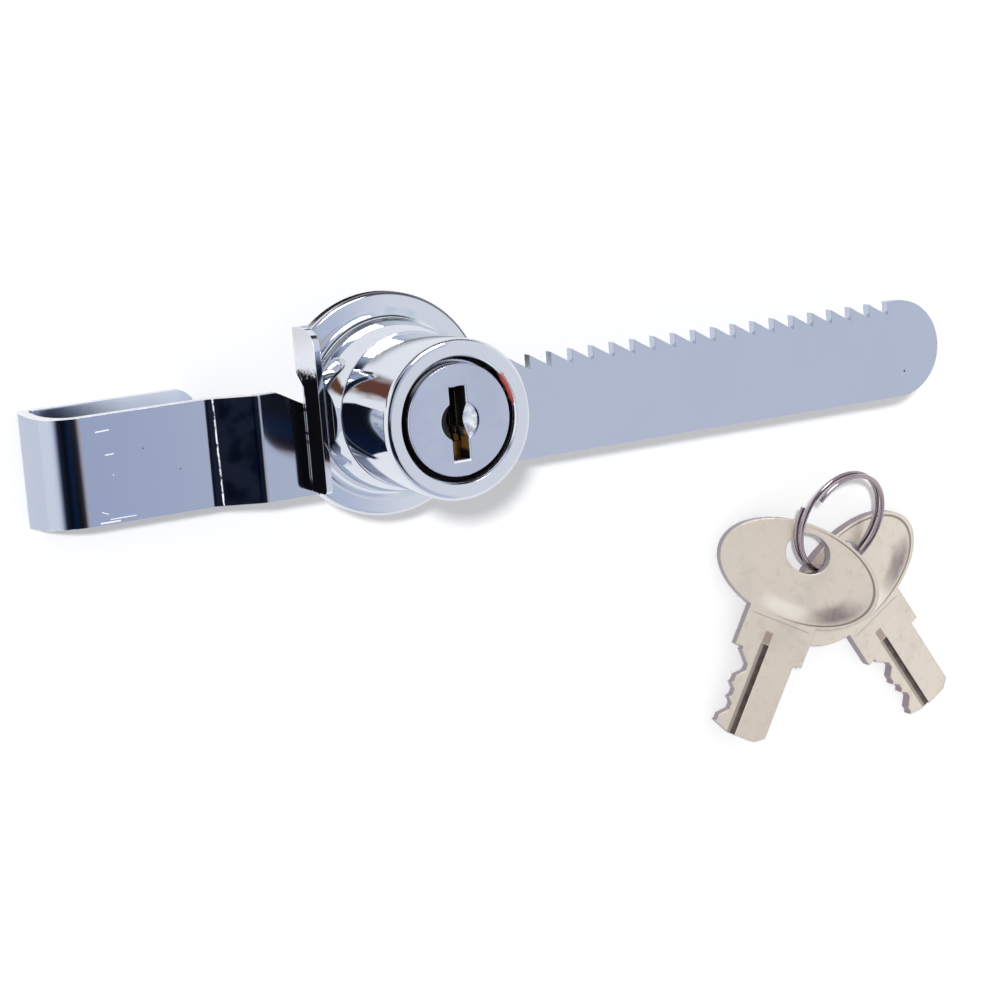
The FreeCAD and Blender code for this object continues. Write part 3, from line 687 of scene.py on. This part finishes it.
def nickel(name, at, turn):
    """The metal of one key: its place in mm and its turns about Z, X and Y in degrees."""
    paint, place, sockets = base_metal(name, rgb(236, 224, 208), 0.31, grain=0.05,
                                       grain_size=1500.0, edge=0.0004)
    yaw, pitch, roll = [math.radians(angle) for angle in turn]
    spin = Matrix.Rotation(yaw, 3, "Z") @ Matrix.Rotation(pitch, 3, "X")
    spin = spin @ Matrix.Rotation(-roll, 3, "Y")
    centre = tuple(part / 1000 for part in at)
    off = paint.add("ShaderNodeVectorMath", {"operation": "SUBTRACT"}, {0: place, 1: centre})
    across, along, above = [paint.add("ShaderNodeVectorMath", {"operation": "DOT_PRODUCT"},
                                      {0: off, 1: tuple(spin.col[i])}, "Value") for i in range(3)]
    top = paint.step(above, 0.00082, 0.00088)
    oval = paint.length(across / bow_half_width, (along - bow_centre) / bow_half_height)
    rub = paint.noise(place, 700.0, 4.0, 0.6)
    mottle = paint.noise(place, 160.0, 3.0, 0.5)
    unevenness = 0.6 + rub * 0.6

    # painted shade: the groove darkens, most at its far wall, and so does the ramp where it ends
    groove = paint.within(across, -0.0020, -0.0005, 0.00003) * paint.step(above, 0.0001, 0.0003)
    groove = groove * (1 - top) * paint.under(along, -0.0115, -0.0113)
    groove_shade = groove * paint.step(across, -0.00140, -0.00115) * unevenness
    run_out = paint.within(across, -0.0019, -0.0006, 0.0001)
    run_out = run_out * paint.within(along, -0.0114, -0.0094, 0.0002)

    # painted dark reflection on the lower right of the bow, and a painted highlight beside it
    dark_reflection = paint.within(oval, 0.62, 0.90, 0.08) * paint.step(across, 0.002, 0.008)
    dark_reflection = dark_reflection * paint.under(along, -0.003, 0.001) * unevenness
    shine = paint.within(oval, 0.60, 0.90, 0.10) * paint.within(across, -0.0040, 0.0030, 0.0020)
    shine = shine * paint.under(along, -0.0045, -0.0025) * (0.5 + rub)
    # the pressed lines are bumped and also darkened with painted shade
    pressed = paint.within(oval, 0.925, 0.955, 0.008) * paint.step(across, -0.004, 0.006)
    neck_line = paint.within(along, -0.00740, -0.00722, 0.00005)
    neck_line = neck_line * paint.within(across, -0.0050, 0.0050, 0.0006)
    # the cut sides below the top face get painted shade
    lay(paint, sockets,
        (paint.step(rub, 0.5, 0.72) * 0.25, rgb(186, 172, 160)),
        (paint.step(mottle, 0.5, 0.75) * 0.30, rgb(200, 190, 178)),
        (1 - top, rgb(146, 132, 138)),
        (groove, rgb(176, 164, 154)),
        (groove_shade, rgb(84, 70, 66)),
        (run_out * top * 0.75, rgb(158, 132, 120)),
        (dark_reflection * top * 0.8, rgb(118, 102, 106)),
        (shine * top * 0.8, rgb(255, 250, 236)),
        (pressed * top * 0.8, rgb(118, 102, 100)),
        (neck_line * top * 0.5, rgb(150, 136, 130)))
    sockets["Metallic"] = 0.45
    sockets["Normal"] = paint.add("ShaderNodeBump", {}, {
        "Height": rub - pressed - neck_line, "Strength": 0.05, "Distance": 0.0001,
        "Normal": sockets["Normal"]})
    return shade(paint, sockets)


table_mm = 1000 * table_z
nickel_front = nickel("nickel_front", at=(73.163, -39.114, 4.612 + table_mm),
                      turn=(-27.877, 2.583, 15.159))
nickel_back = nickel("nickel_back", at=(86.549, -42.475, 0.92 + table_mm),
                     turn=(32.049, 0.0, 0.0))
print("key metals:", nickel_front.name, nickel_back.name)

# %% [markdown]
# ## Dressing the pieces
#
# Each CAD node is looked up by name and gets its metal. What isn't in the table is a small part:
# wafers are brass, and the pawl, the clip, the springs and the rivets are dull steel.

# %% Finishes
finishes = {
    "ratchet_bar": chrome_strip, "back_plate": chrome_plate, "housing": chrome_cast,
    "cap_sleeve": chrome_sleeve, "plug": satin_plug, "split_ring": ring_wire,
    "key_front": nickel_front, "key_back": nickel_back}
for i in range(1, 6):
    finishes[f"wafer_{i}"] = brass
for name, node in nodes.items():
    finish = finishes.get(name, dull_steel)
    node.data.materials.clear()
    node.data.materials.append(finish)
print("finishes set on", len(nodes), "nodes")

# %% [markdown]
# ## The spring over the pawl
#
# When the key turns, the pawl rises and the coil spring over it gets shorter. A CAD piece keeps its
# shape in every pose, so the pawl would run into it. The spring's upper end rests on the housing. A
# copy of its mesh takes its place here and rides on the lock's body, and the original is hidden.

# %% Pawl spring
spring = nodes["pawl_spring"]
bpy.context.view_layer.update()
spring_foot = min((spring.matrix_world @ vertex.co).y for vertex in spring.data.vertices)
coil = bpy.data.objects.new("pawl_coil", spring.data.copy())
coil.matrix_world = spring.matrix_world.copy()
bpy.context.scene.collection.objects.link(coil)
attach(coil, "lock_body")
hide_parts("pawl_spring")
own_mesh(coil)
